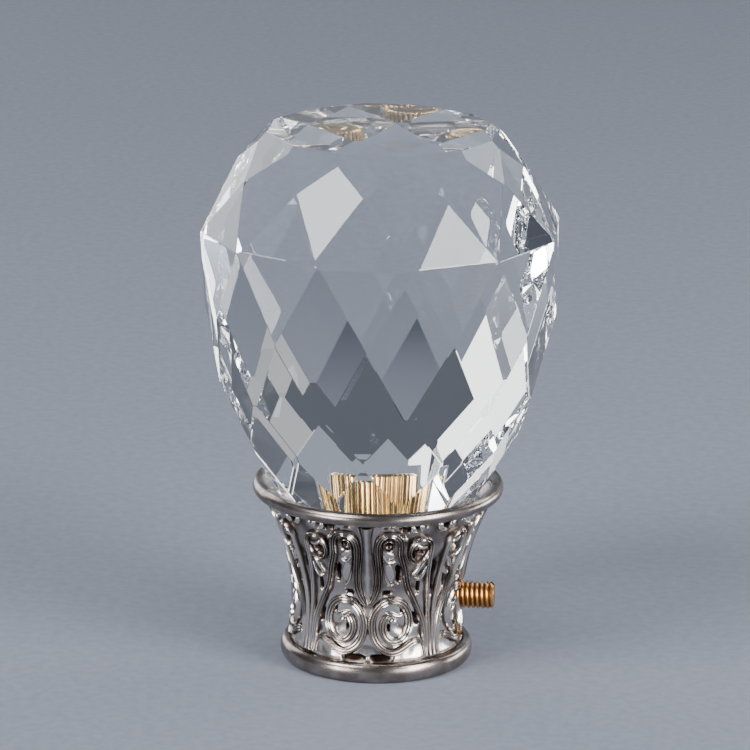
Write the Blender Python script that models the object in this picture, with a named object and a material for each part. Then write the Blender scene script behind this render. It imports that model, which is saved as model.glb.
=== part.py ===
"""A curtain rod finial: a cut crystal bulb glued on a brass insert, in a plated cast collar with scroll relief.

Metres, +Z up. The origin is on the axis, under the collar's foot, where the finial stands. The collar slides
over the end of a round rod from below, and a brass grub screw, which points along +X, holds it there.
"""

import math

import bmesh
import bpy
from mathutils import Matrix, Vector

MM = 0.001
GAP = 0.3 * MM  # clearance between a piece and the one that it fits or rests on

# The rod socket and the web that closes it
ROD_RADIUS = 10.0 * MM
ROD_CLEARANCE = 0.2 * MM
SOCKET_DEPTH = 22.4 * MM
WEB_THICKNESS = 2.2 * MM

# The collar's outside, with the relief's own ground as its skin
FOOT_HEIGHT = 2.9 * MM
FOOT_BEAD_WIDTH = 1.4 * MM
FOOT_GROOVE = 0.35 * MM
WAIST_WALL = 1.55 * MM
WAIST_HEIGHT = 8.8 * MM
HEEL_FLARE = 0.3 * MM
NECK_FLARE = 4.2 * MM
RELIEF_HEIGHT = 0.65 * MM
RIM_HEIGHT = 2.0 * MM
RIM_BEAD_WIDTH = 1.0 * MM
RIM_LIP_WIDTH = 1.2 * MM
RIM_LIP_DROP = 0.45 * MM

# The crystal, whose cut is given as shares of its height and of its radius at the girdle's corners
CRYSTAL_RADIUS = 25.8 * MM
CRYSTAL_HEIGHT = 53.0 * MM
FACETS_AROUND = 12
CRYSTAL_TURN = math.radians(0.7)
FACET_WANDER = 0.1 * MM  # how far a hand-ground facet lies off its true depth
WANDER_ROUND = 2.4  # radians of the wander's wave from one facet to the next
WANDER_ROW = 1.3  # and from one row to the next
# Each row of facets: the two ends of its middle line, as (radius share, height share), and whether it is half
# a facet on
FACET_ROWS = {
    "star": ((0.610, 1.000), (0.806, 0.902), False),
    "crown_kite": ((0.647, 1.000), (1.000, 0.738), True),
    "crown_girdle": ((0.806, 0.902), (0.966, 0.738), False),
    "upper_pavilion": ((0.966, 0.738), (0.973, 0.517), False),
    "long_kite": ((1.000, 0.738), (0.882, 0.310), True),
    "short_kite": ((0.973, 0.517), (0.797, 0.205), False),
    "culet_kite": ((0.882, 0.310), (0.577, 0.000), True),
    "heel": ((0.7655, 0.165), (0.538, 0.000), False),
}

# The knurled brass insert, with its tail through the web
INSERT_RADIUS = 4.6 * MM
INSERT_DEPTH = 7.9 * MM
BORE_ROOM = 1.4 * MM  # above the insert, where the glue gathers
KNURL_TEETH = 36
KNURL_DEPTH = 0.3 * MM
TAIL_RADIUS = 3.0 * MM

# The brass grub screw, M4
SCREW_RADIUS = 2.0 * MM
SCREW_PITCH = 0.7 * MM
SCREW_LENGTH = 6.0 * MM
SCREW_HEIGHT = 9.6 * MM
SCREW_STANDOFF = 0.8 * MM  # from the socket's wall to the screw's point
THREAD_DEPTH = 0.35 * MM
POINT_SHARE = 0.5  # of the thread's core, at the screw's inner end
SLOT_WIDTH = 0.7 * MM
SLOT_DEPTH = 1.1 * MM

# The scroll relief: half of one repeat, in degrees from the leaf's middle and in shares of the field's height.
# The degrees are those of a quarter turn, and stretch or shrink with the number of repeats.
REPEATS = 4
BAND_WIDTH = 1.3 * MM
BAND_TOP_SHARE = 0.45
BAND_ROOT = 0.35 * MM  # how far a band is sunk into the ground
LEAF_HEIGHT = 0.5 * MM
SCROLL_WIDTH = 1.05 * MM
LEAF_OUTLINE = (  # half its width in degrees at each share of the height
    (0.392, 0.8),
    (0.430, 2.8),
    (0.500, 5.0),
    (0.574, 5.5),
    (0.644, 5.0),
    (0.720, 4.0),
    (0.800, 3.1),
    (0.990, 4.4),
)
HAIRPIN_UP = ((1.6, 0.386), (4.2, 0.424), (7.2, 0.520), (6.9, 0.644), (5.9, 0.760))
HAIRPIN_MIDDLE = 12.8
HAIRPIN_HALF = 7.0
HAIRPIN_SPRING = 0.822
HAIRPIN_RISE = 0.110
HAIRPIN_DOWN = ((20.3, 0.760), (23.3, 0.653), (26.7, 0.513), (33.3, 0.377), (38.6, 0.241), (40.0, 0.000))
OVAL_ARM = (36.8, 0.105)
OVAL_LEAVE = (31.5, 0.150)
OVAL_ARRIVE = 25.0
OVAL_CENTRE = (16.0, 0.243)
OVAL_HALF = (14.4, 0.205)
OVAL_END = (2.8, 0.040)
OVAL_TURN = -610
OVAL_LIFT = 0.9  # of the relief's height, as the next two
SIDE_LIFT = 0.95
DROP_LIFT = 0.7
SIDE_FOOT = 43.4
SIDE_LEAVE = 0.320
SIDE_ARRIVE = (39.4, 0.570)
SIDE_CENTRE = (31.7, 0.778)
SIDE_HALF = (7.3, 0.105)
SIDE_END = (3.0, 0.040)
SIDE_TURN = 400
DROP_POINT = (15.4, 0.520)
DROP_LEAVE = (11.5, 0.560)
DROP_ARRIVE = (8.6, 0.700)
DROP_CENTRE = (12.4, 0.830)
DROP_HALF = (3.3, 0.050)
DROP_END = (2.4, 0.040)
DROP_TURN = -270
DROP_WIDTH = 0.75 * MM
TIGHTENING = 1.4  # a spiral closes in slowly at first, as this power of the share of its turn

# How finely the solids are faceted
SECTOR_SIDES = 5  # sides in half of one repeat
BORE_SIDES = 24
SCREW_SIDES = 12
BEAD_STEPS = 4
BODY_STEPS = 6
ARCH_STEPS = 4
OVAL_STEPS = 5  # along the oval's arm, and a fifth of those round its spiral
SIDE_STEPS = 3  # along the side scroll's leg, and a third of those round it
DROP_STEPS = 2
SEAM = 0.001 * MM  # corners closer than this are one corner
FACET_SEAM = 0.02 * MM  # the same on the crystal, where up to six planes nearly meet
FLAT_ENOUGH = math.radians(3)  # faces that bend less than this at an edge are one face

# Worked out from the sizes above
BORE_RADIUS = ROD_RADIUS + ROD_CLEARANCE
CUP_FLOOR = SOCKET_DEPTH + WEB_THICKNESS
RIM_TOP = CUP_FLOOR + RIM_HEIGHT
FIELD_BOTTOM = FOOT_HEIGHT + FOOT_GROOVE
FIELD_TOP = CUP_FLOOR
WAIST_RADIUS = BORE_RADIUS + WAIST_WALL
CRYSTAL_BOTTOM = CUP_FLOOR + GAP
CORNER = 1 / math.cos(math.pi / FACETS_AROUND)
QUARTER = 4  # repeats for which the relief's degrees are true degrees
HALF_REPEAT = math.pi / REPEATS

MATERIALS = {
    "cut_crystal": ((0.93, 0.95, 0.97, 1.0), 0.02, 0.0),
    "plated_zinc": ((0.62, 0.60, 0.58, 1.0), 0.22, 1.0),
    "brass": ((0.80, 0.58, 0.30, 1.0), 0.30, 1.0),
}


def clear_scene():
    """Removes what the startup scene holds."""
    for obj in list(bpy.data.objects):
        bpy.data.objects.remove(obj, do_unlink=True)


def material(name):
    """The named finish, as a Principled material."""
    found = bpy.data.materials.get(name)
    if found:
        return found
    colour, roughness, metallic = MATERIALS[name]
    found = bpy.data.materials.new(name)
    found.use_nodes = True
    shader = found.node_tree.nodes["Principled BSDF"]
    shader.inputs["Base Color"].default_value = colour
    shader.inputs["Roughness"].default_value = roughness
    shader.inputs["Metallic"].default_value = metallic
    if name == "cut_crystal":
        shader.inputs["Transmission Weight"].default_value = 1.0
        shader.inputs["IOR"].default_value = 1.54
    return found


def new_object(name, bm, finish=None, smooth_angle=None):
    """Makes an object from a bmesh, with its faces turned outwards."""
    bmesh.ops.recalc_face_normals(bm, faces=bm.faces)
    mesh = bpy.data.meshes.new(name)
    bm.to_mesh(mesh)
    bm.free()
    if smooth_angle is not None:
        mesh.shade_smooth()
        mesh.set_sharp_from_angle(angle=smooth_angle)
    obj = bpy.data.objects.new(name, mesh)
    bpy.context.scene.collection.objects.link(obj)
    if finish:
        mesh.materials.append(material(finish))
    return obj


def helper(obj):
    """Marks an object as a cutter or a guide, which isn't part of the finial."""
    obj.hide_render = True
    obj.display_type = "WIRE"
    return obj


def boolean(obj, operation, other):
    """Adds a Boolean modifier that cuts or joins other, and names it after it."""
    modifier = obj.modifiers.new(f"{operation.lower()}_{other.name}", "BOOLEAN")
    modifier.operation = operation
    modifier.solver = "EXACT"
    modifier.object = other


def rod_shape(radius, length, sides):
    """A plain cylinder along Z, from the origin up."""
    bm = bmesh.new()
    bmesh.ops.create_cone(bm, cap_ends=True, segments=sides, radius1=radius, radius2=radius, depth=length)
    bmesh.ops.translate(bm, verts=bm.verts, vec=(0, 0, length / 2))
    return bm


def sweep(bm, rings):
    """Skins a closed tube through rings of points, all with one count, and caps both its ends."""
    verts = [bm.verts.new(point) for point in rings[0]]
    edges = [bm.edges.new((verts[i - 1], verts[i])) for i in range(len(verts))]
    bmesh.ops.contextual_create(bm, geom=edges)
    for ring in rings[1:]:
        made = bmesh.ops.extrude_edge_only(bm, edges=edges)["geom"]
        place = {vert: i for i, vert in enumerate(verts)}
        moved = {}
        for vert in (item for item in made if isinstance(item, bmesh.types.BMVert)):
            old = next(e.other_vert(vert) for e in vert.link_edges if e.other_vert(vert) in place)
            moved[place[old]] = vert
        verts = [moved[i] for i in range(len(ring))]
        for vert, point in zip(verts, ring):
            vert.co = point
        edges = [item for item in made if isinstance(item, bmesh.types.BMEdge)]
    bmesh.ops.contextual_create(bm, geom=edges)


# The collar


def ground_radius(height):
    """The radius of the relief's ground, a waisted curve that flares to the neck and a little to the heel."""
    if height >= WAIST_HEIGHT:
        return WAIST_RADIUS + NECK_FLARE * ((height - WAIST_HEIGHT) / (FIELD_TOP - WAIST_HEIGHT)) ** 2
    return WAIST_RADIUS + HEEL_FLARE * ((WAIST_HEIGHT - height) / (WAIST_HEIGHT - FIELD_BOTTOM)) ** 2


def half_bead(inner, low, high, width):
    """A half-round moulding from low to high, as (radius, height) points."""
    middle = (low + high) / 2
    reach = (high - low) / 2
    points = []
    for i in range(BEAD_STEPS + 1):
        turn = -math.pi / 2 + math.pi * i / BEAD_STEPS
        points.append((inner + width * math.cos(turn), middle + reach * math.sin(turn)))
    return points


def crystal_reach(height):
    """The crystal's largest radius at a height above its own bottom, in its lowest row of facets."""
    (high_radius, high), (low_radius, low), _ = FACET_ROWS["heel"]
    share = height / CRYSTAL_HEIGHT
    slope = (high_radius - low_radius) / (high - low)
    return CRYSTAL_RADIUS * (low_radius + slope * (share - low)) * CORNER


def collar_profile():
    """The collar's section, with the socket, the web, the cup, the rim, the ground and the foot."""
    tail_hole = TAIL_RADIUS + GAP
    cup_floor = crystal_reach(0) + GAP
    cup_mouth = crystal_reach(RIM_TOP - CRYSTAL_BOTTOM) + GAP
    heel = ground_radius(FIELD_BOTTOM)
    foot = heel + FOOT_GROOVE
    neck = ground_radius(FIELD_TOP)
    rim = max(neck + RELIEF_HEIGHT / 2, cup_mouth + RIM_LIP_WIDTH)
    body = [field_height(i / BODY_STEPS) for i in range(BODY_STEPS + 1)]
    return [
        (BORE_RADIUS, 0.0),
        *half_bead(foot, 0.0, FOOT_HEIGHT, FOOT_BEAD_WIDTH),
        (heel, FOOT_HEIGHT - FOOT_GROOVE),
        *[(ground_radius(height), height) for height in body],
        *half_bead(rim, CUP_FLOOR, RIM_TOP, RIM_BEAD_WIDTH),
        (cup_mouth, RIM_TOP - RIM_LIP_DROP),
        (cup_floor, CUP_FLOOR),
        (tail_hole, CUP_FLOOR),
        (tail_hole, SOCKET_DEPTH),
        (BORE_RADIUS, SOCKET_DEPTH),
    ]


def field_height(share):
    """A height on the collar from a share of the ornament's field."""
    return FIELD_BOTTOM + share * (FIELD_TOP - FIELD_BOTTOM)


def on_ground(degrees, share, lift=0.0):
    """The point on the relief's ground at an angle and a share of its height, lifted off along the normal."""
    height = field_height(share)
    radius = ground_radius(height)
    angle = math.radians(degrees * QUARTER / REPEATS)
    out = Vector((math.cos(angle), math.sin(angle), 0))
    return out * radius + Vector((0, 0, height)) + ground_normal(degrees, share) * lift


def ground_normal(degrees, share):
    """The outward normal of the relief's ground."""
    height = field_height(share)
    step = RELIEF_HEIGHT / 10
    slope = (ground_radius(height + step) - ground_radius(height - step)) / (2 * step)
    angle = math.radians(degrees * QUARTER / REPEATS)
    return Vector((math.cos(angle), math.sin(angle), -slope)).normalized()


def eased(share):
    """A smooth step from 0 to 1."""
    share = min(1.0, max(0.0, share))
    return share * share * (3 - 2 * share)


def mix(first, second, share):
    """The value at a share of the way between two numbers."""
    return first + (second - first) * share


def bezier(ends, handles, count):
    """Points of a cubic Bezier curve in the plane of angle and height, without its last one."""
    (start, finish), (leave, arrive) = ends, handles
    points = []
    for i in range(count):
        t = i / count
        weights = ((1 - t) ** 3, 3 * t * (1 - t) ** 2, 3 * t * t * (1 - t), t**3)
        points.append(
            tuple(
                sum(w * p[k] for w, p in zip(weights, (start, leave, arrive, finish))) for k in range(2)
            )
        )
    return points


def spiral(centre, half, end, start, turn, count):
    """An oval spiral that starts with half for its half axes and closes in to end. Angles are in degrees."""
    points = []
    for i in range(count + 1):
        share = i / count
        angle = math.radians(start + turn * share)
        closed = share**TIGHTENING
        wide = mix(half[0], end[0], closed)
        tall = mix(half[1], end[1], closed)
        points.append((centre[0] + wide * math.cos(angle), centre[1] + tall * math.sin(angle)))
    return points


def hairpin_path(steps):
    """The tall arch beside the leaf: up from the leaf's tip, over, and down the stem to the foot."""
    arch = []
    for i in range(steps + 1):
        angle = math.pi * (1 - i / steps)
        arch.append(
            (HAIRPIN_MIDDLE + HAIRPIN_HALF * math.cos(angle), HAIRPIN_SPRING + HAIRPIN_RISE * math.sin(angle))
        )
    return list(HAIRPIN_UP) + arch + list(HAIRPIN_DOWN)


def oval_path(steps):
    """The spiral below the hairpin: out of the stem, under, up beside the leaf's axis and round inwards."""
    bottom = (OVAL_CENTRE[0], OVAL_CENTRE[1] - OVAL_HALF[1])
    arm = bezier((OVAL_ARM, bottom), (OVAL_LEAVE, (OVAL_ARRIVE, bottom[1])), steps)
    return arm + spiral(OVAL_CENTRE, OVAL_HALF, OVAL_END, -90, OVAL_TURN, 5 * steps)


def side_path(steps):
    """The round scroll beside the hairpin: up the stem from the foot, over the top and round inwards."""
    right = (SIDE_CENTRE[0] + SIDE_HALF[0], SIDE_CENTRE[1])
    leg = bezier(((SIDE_FOOT, 0.0), right), ((SIDE_FOOT, SIDE_LEAVE), SIDE_ARRIVE), steps)
    return leg + spiral(SIDE_CENTRE, SIDE_HALF, SIDE_END, 0, SIDE_TURN, 3 * steps)


def drop_path(steps):
    """The small scroll inside the hairpin: up from its point, over the top and round the eye."""
    left = (DROP_CENTRE[0] - DROP_HALF[0], DROP_CENTRE[1])
    rise = bezier((DROP_POINT, left), (DROP_LEAVE, DROP_ARRIVE), steps)
    return rise + spiral(DROP_CENTRE, DROP_HALF, DROP_END, 180, DROP_TURN, 3 * steps)


def band_rings(path, width, height):
    """The rings of a raised band that follows a path on the ground, with a flat top and sloped sides."""
    rings = []
    for i, (degrees, share) in enumerate(path):
        before = on_ground(*path[max(0, i - 1)])
        after = on_ground(*path[min(len(path) - 1, i + 1)])
        normal = ground_normal(degrees, share)
        across = normal.cross((after - before).normalized()).normalized()
        middle = on_ground(degrees, share)
        half = width / 2
        section = (
            (-half, -BAND_ROOT),
            (-half * BAND_TOP_SHARE, height),
            (half * BAND_TOP_SHARE, height),
            (half, -BAND_ROOT),
        )
        rings.append([middle + across * x + normal * y for x, y in section])
    return rings


def leaf_rings():
    """The rings of the pointed leaf between two hairpins, which ends under the rim."""
    rings = []
    for share, half in LEAF_OUTLINE:
        rings.append(
            [
                on_ground(-half, share, -BAND_ROOT),
                on_ground(0, share, LEAF_HEIGHT),
                on_ground(half, share, -BAND_ROOT),
            ]
        )
    return rings


def relief_pieces():
    """The raised bands of half a repeat and its leaf, each as its own closed shape."""
    shapes = {
        "leaf": leaf_rings(),
        "hairpin": band_rings(hairpin_path(ARCH_STEPS), BAND_WIDTH, RELIEF_HEIGHT),
        "oval": band_rings(oval_path(OVAL_STEPS), SCROLL_WIDTH, RELIEF_HEIGHT * OVAL_LIFT),
        "side": band_rings(side_path(SIDE_STEPS), SCROLL_WIDTH, RELIEF_HEIGHT * SIDE_LIFT),
        "drop": band_rings(drop_path(DROP_STEPS), DROP_WIDTH, RELIEF_HEIGHT * DROP_LIFT),
    }
    pieces = []
    for name, rings in shapes.items():
        bm = bmesh.new()
        sweep(bm, rings)
        pieces.append(helper(new_object(name, bm)))
    return pieces


def carved_sector():
    """A wedge of the collar a little wider than half a repeat, with that half's relief joined on."""
    spare = HALF_REPEAT / SECTOR_SIDES
    steps = SECTOR_SIDES + 2
    bm = bmesh.new()
    verts = [bm.verts.new((radius, 0.0, height)) for radius, height in collar_profile()]
    edges = [bm.edges.new((verts[i - 1], verts[i])) for i in range(len(verts))]
    bmesh.ops.rotate(bm, verts=verts, cent=(0, 0, 0), matrix=Matrix.Rotation(-spare, 3, "Z"))
    bmesh.ops.contextual_create(bm, geom=edges)
    bmesh.ops.spin(bm, geom=verts + edges, cent=(0, 0, 0), axis=(0, 0, 1), angle=steps * spare, steps=steps)
    bmesh.ops.holes_fill(bm, edges=[edge for edge in bm.edges if edge.is_boundary], sides=0)
    sector = helper(new_object("sector", bm))
    for piece in relief_pieces():
        boolean(sector, "UNION", piece)
    return sector


def make_collar():
    """The cast collar: its carved sector cut true, mirrored and turned round, with the grub screw's hole."""
    sector = carved_sector()
    bm = bmesh.new()
    bm.from_object(sector, bpy.context.evaluated_depsgraph_get())
    far = Vector((-math.sin(HALF_REPEAT), math.cos(HALF_REPEAT), 0))
    for outward in (Vector((0, -1, 0)), far):
        bmesh.ops.bisect_plane(
            bm,
            geom=list(bm.verts) + list(bm.edges) + list(bm.faces),
            dist=SEAM,
            plane_co=(0, 0, 0),
            plane_no=outward,
            clear_outer=True,
        )
        for vert in bm.verts:
            off = vert.co.dot(outward)
            if abs(off) <= 2 * SEAM:
                vert.co -= outward * off
    bmesh.ops.dissolve_limit(bm, angle_limit=FLAT_ENOUGH, verts=bm.verts, edges=bm.edges)
    bmesh.ops.mirror(bm, geom=list(bm.verts) + list(bm.edges) + list(bm.faces), axis="Y", merge_dist=SEAM)
    bmesh.ops.spin(
        bm,
        geom=list(bm.verts) + list(bm.edges) + list(bm.faces),
        cent=(0, 0, 0),
        axis=(0, 0, 1),
        angle=2 * math.pi,
        steps=REPEATS,
        use_duplicate=True,
    )
    bmesh.ops.remove_doubles(bm, verts=bm.verts, dist=SEAM)
    collar = new_object("collar", bm, "plated_zinc", math.radians(30))
    hole = helper(new_object("screw_hole", rod_shape(SCREW_RADIUS + GAP, 2 * BORE_RADIUS, SCREW_SIDES)))
    hole.rotation_euler = (0, math.pi / 2, 0)
    hole.location = (BORE_RADIUS / 2, 0, SCREW_HEIGHT)
    boolean(collar, "DIFFERENCE", hole)
    return collar


# The crystal


def facet_plane(row, index):
    """A point and the outward normal of one facet's plane, at the depth that it was ground to."""
    (high_radius, high), (low_radius, low), half_on = FACET_ROWS[row]
    angle = CRYSTAL_TURN + 2 * math.pi * (index + 0.5 * half_on) / FACETS_AROUND
    out = Vector((math.cos(angle), math.sin(angle), 0))
    top = out * high_radius * CRYSTAL_RADIUS + Vector((0, 0, high * CRYSTAL_HEIGHT))
    bottom = out * low_radius * CRYSTAL_RADIUS + Vector((0, 0, low * CRYSTAL_HEIGHT))
    along = Vector((-out.y, out.x, 0))
    normal = along.cross(top - bottom).normalized()
    wander = math.sin(WANDER_ROUND * index + WANDER_ROW * list(FACET_ROWS).index(row))
    return top + normal * FACET_WANDER * wander, normal


def make_crystal():
    """The crystal, ground from a round blank by one plane for each facet, with the insert's blind bore."""
    bm = rod_shape(CRYSTAL_RADIUS * CORNER + FACET_WANDER, CRYSTAL_HEIGHT, 2 * FACETS_AROUND)
    for row in FACET_ROWS:
        for index in range(FACETS_AROUND):
            point, normal = facet_plane(row, index)
            cut = bmesh.ops.bisect_plane(
                bm,
                geom=list(bm.verts) + list(bm.edges) + list(bm.faces),
                dist=SEAM,
                plane_co=point,
                plane_no=normal,
                clear_outer=True,
            )
            rim = [item for item in cut["geom_cut"] if isinstance(item, bmesh.types.BMEdge)]
            if rim:
                bmesh.ops.contextual_create(bm, geom=rim)
    bmesh.ops.remove_doubles(bm, verts=bm.verts, dist=FACET_SEAM)
    bmesh.ops.translate(bm, verts=bm.verts, vec=(0, 0, CRYSTAL_BOTTOM))
    crystal = new_object("crystal", bm, "cut_crystal")
    bore_depth = INSERT_DEPTH + BORE_ROOM
    bore = helper(new_object("insert_bore", rod_shape(INSERT_RADIUS + GAP, 2 * bore_depth, BORE_SIDES)))
    bore.location = (0, 0, CRYSTAL_BOTTOM - bore_depth)
    boolean(crystal, "DIFFERENCE", bore)
    return crystal


# The brass pieces


def make_insert():
    """The knurled brass insert: a toothed head inside the crystal and a plain tail through the web."""
    bm = bmesh.new()
    verts = []
    for i in range(2 * KNURL_TEETH):
        angle = math.pi * i / KNURL_TEETH
        radius = INSERT_RADIUS - (KNURL_DEPTH if i % 2 else 0)
        verts.append(bm.verts.new((radius * math.cos(angle), radius * math.sin(angle), CRYSTAL_BOTTOM)))
    face = bmesh.ops.contextual_create(bm, geom=verts)["faces"]
    head = bmesh.ops.extrude_face_region(bm, geom=face)["geom"]
    raised = [item for item in head if isinstance(item, bmesh.types.BMVert)]
    bmesh.ops.translate(bm, verts=raised, vec=(0, 0, INSERT_DEPTH))
    insert = new_object("insert", bm, "brass", math.radians(30))
    root = INSERT_DEPTH / 2
    length = CRYSTAL_BOTTOM + root - SOCKET_DEPTH
    tail = helper(new_object("insert_tail", rod_shape(TAIL_RADIUS, length, BORE_SIDES)))
    tail.location = (0, 0, SOCKET_DEPTH)
    boolean(insert, "UNION", tail)
    return insert


def make_screw():
    """The grub screw, with ring-shaped threads, a pointed inner end and a driver's slot in the outer one."""
    core = SCREW_RADIUS - THREAD_DEPTH
    crests = int(SCREW_LENGTH / SCREW_PITCH)
    first = (SCREW_LENGTH - crests * SCREW_PITCH) / 2
    profile = [(POINT_SHARE * core, 0.0), (core, first)]
    for i in range(crests):
        root = first + SCREW_PITCH * i
        profile += [(SCREW_RADIUS, root + 0.5 * SCREW_PITCH), (core, root + SCREW_PITCH)]
    profile.append((core, SCREW_LENGTH))
    bm = bmesh.new()
    verts = [bm.verts.new((radius, 0, height)) for radius, height in profile]
    edges = [bm.edges.new(pair) for pair in zip(verts, verts[1:])]
    bmesh.ops.spin(
        bm,
        geom=verts + edges,
        cent=(0, 0, 0),
        axis=(0, 0, 1),
        angle=2 * math.pi,
        steps=SCREW_SIDES,
        use_merge=True,
    )
    bmesh.ops.holes_fill(bm, edges=[edge for edge in bm.edges if edge.is_boundary], sides=0)
    screw = new_object("grub_screw", bm, "brass", math.radians(50))
    screw.rotation_euler = (0, math.pi / 2, 0)
    screw.location = (BORE_RADIUS + SCREW_STANDOFF, 0, SCREW_HEIGHT)
    slot_bm = bmesh.new()
    bmesh.ops.create_cube(slot_bm, size=1)
    bmesh.ops.scale(slot_bm, verts=slot_bm.verts, vec=(2 * SLOT_DEPTH, SLOT_WIDTH, 3 * SCREW_RADIUS))
    slot = helper(new_object("driver_slot", slot_bm))
    slot.location = (BORE_RADIUS + SCREW_STANDOFF + SCREW_LENGTH, 0, SCREW_HEIGHT)
    boolean(screw, "DIFFERENCE", slot)
    return screw


def main():
    """Builds the finial's four pieces."""
    clear_scene()
    make_collar()
    make_crystal()
    make_insert()
    make_screw()


main()
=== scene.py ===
"""The looks of a curtain rod finial: a cut crystal bulb on a brass insert, in a nickel-plated collar.

Metres, +Z up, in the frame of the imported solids. The four solids are replaced by finer pieces of the
same form: the crystal gets its polished arrises, the insert its knurling, the collar its reeded scrolls,
leaves and pits, and the grub screw its helical thread.
"""

import logging
import math
from collections.abc import Iterable, Sequence
from dataclasses import dataclass
from enum import Enum

import bmesh
import bpy
from bmesh.types import BMEdge, BMesh, BMLayerItem, BMVert
from bpy.types import Material, Node, NodeSocket, NodeTree, Object, Scene
from mathutils import Matrix, Vector, noise


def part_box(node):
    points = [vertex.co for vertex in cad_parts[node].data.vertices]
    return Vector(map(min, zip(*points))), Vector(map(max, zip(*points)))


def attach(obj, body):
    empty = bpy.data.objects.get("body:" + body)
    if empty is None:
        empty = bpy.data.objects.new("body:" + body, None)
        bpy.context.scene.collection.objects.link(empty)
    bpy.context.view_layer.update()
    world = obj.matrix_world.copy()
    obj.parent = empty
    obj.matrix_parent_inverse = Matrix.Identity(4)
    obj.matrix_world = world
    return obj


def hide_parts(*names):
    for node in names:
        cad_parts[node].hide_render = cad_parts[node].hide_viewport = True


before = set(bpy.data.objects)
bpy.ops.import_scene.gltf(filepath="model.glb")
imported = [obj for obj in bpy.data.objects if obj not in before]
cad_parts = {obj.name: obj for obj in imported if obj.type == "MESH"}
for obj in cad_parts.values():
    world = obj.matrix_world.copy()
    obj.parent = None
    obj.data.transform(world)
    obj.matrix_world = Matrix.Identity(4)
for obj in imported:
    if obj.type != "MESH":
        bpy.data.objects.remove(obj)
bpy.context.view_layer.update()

MM = 0.001
LOG = logging.getLogger("finial")

Point = tuple[float, float]


# Small helpers


def linear(code: str) -> tuple[float, float, float, float]:
    """Turns an sRGB hex colour into the linear values that shaders take.

    Args:
        code: six hex digits after a hash sign.

    Returns:
        Linear red, green and blue, and an alpha of 1.
    """
    channels = [int(code[i : i + 2], 16) / 255 for i in (1, 3, 5)]
    red, green, blue = (c / 12.92 if c <= 0.04045 else ((c + 0.055) / 1.055) ** 2.4 for c in channels)
    return red, green, blue, 1.0


def mix(first: float, second: float, share: float) -> float:
    """The value at a share of the way between two numbers."""
    return first + (second - first) * share


def eased(share: float) -> float:
    """A smooth step from 0 to 1."""
    share = min(1.0, max(0.0, share))
    return share * share * (3 - 2 * share)


def bezier(ends: tuple[Point, Point], handles: tuple[Point, Point], count: int) -> list[Point]:
    """Points of a cubic Bezier curve, without its last one.

    Args:
        ends: where the curve starts and where it arrives.
        handles: the two points that it leans towards.
        count: how many points are made.

    Returns:
        The points, evenly spaced in the curve's parameter.
    """
    (start, finish), (leave, arrive) = ends, handles
    points = []
    for i in range(count):
        t = i / count
        weights = ((1 - t) ** 3, 3 * t * (1 - t) ** 2, 3 * t * t * (1 - t), t**3)
        parts = list(zip(weights, (start, leave, arrive, finish)))
        points.append((sum(w * p[0] for w, p in parts), sum(w * p[1] for w, p in parts)))
    return points


def through(points: Sequence[Point], steps: int) -> list[Point]:
    """A smooth curve through given points.

    Args:
        points: the points that it goes through.
        steps: how many steps it takes from each to the next.

    Returns:
        Its points.
    """
    padded = [points[0], *points, points[-1]]
    curve = []
    for before, start, finish, after in zip(padded, padded[1:], padded[2:], padded[3:]):
        leave = (start[0] + (finish[0] - before[0]) / 6, start[1] + (finish[1] - before[1]) / 6)
        arrive = (finish[0] - (after[0] - start[0]) / 6, finish[1] - (after[1] - start[1]) / 6)
        curve += bezier((start, finish), (leave, arrive), steps)
    return [*curve, points[-1]]


def everything(bm: BMesh) -> list:
    """All corners, edges and faces of a bmesh."""
    return [*bm.verts, *bm.edges, *bm.faces]


def add_node(tree: NodeTree, kind: str, links: dict | None = None, **settings) -> Node:
    """Adds a shader node with its settings and its links.

    Args:
        tree: the tree that the node goes into.
        kind: the node's type, without its "ShaderNode".
        links: for each input, a value to set on it or an output socket to link to it.
        **settings: properties of the node itself.

    Returns:
        The new node.
    """
    node = tree.nodes.new(f"ShaderNode{kind}")
    for name, value in settings.items():
        setattr(node, name, value)
    for name, value in (links or {}).items():
        if isinstance(value, NodeSocket):
            tree.links.new(value, node.inputs[name])
        else:
            node.inputs[name].default_value = value
    return node


def to_object(name: str, bm: BMesh, sharp: float | None = None) -> Object:
    """Makes a scene object from a bmesh and frees it.

    Args:
        name: the object's name.
        bm: its shape, in the frame's own coordinates.
        sharp: edges that bend more than this angle stay crisp, and all others are smooth. Without it the
            faces are flat.

    Returns:
        The object, at the origin, unturned and unscaled.
    """
    mesh = bpy.data.meshes.new(name)
    bm.to_mesh(mesh)
    bm.free()
    if sharp is not None:
        mesh.shade_smooth()
        mesh.set_sharp_from_angle(angle=sharp)
    obj = bpy.data.objects.new(name, mesh)
    bpy.context.scene.collection.objects.link(obj)
    return obj


def cut_away(bm: BMesh, cutter: Object) -> BMesh:
    """Cuts one closed solid out of another.

    Args:
        bm: the solid that is cut, which is used up.
        cutter: the solid that is taken out of it, which stays.

    Returns:
        What is left.
    """
    obj = to_object("being_cut", bm)
    modifier = obj.modifiers.new("cut", "BOOLEAN")
    modifier.operation = "DIFFERENCE"
    modifier.solver = "EXACT"
    modifier.object = cutter
    left = bmesh.new()
    left.from_object(obj, bpy.context.evaluated_depsgraph_get())
    bpy.data.objects.remove(obj, do_unlink=True)
    return left


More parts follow.
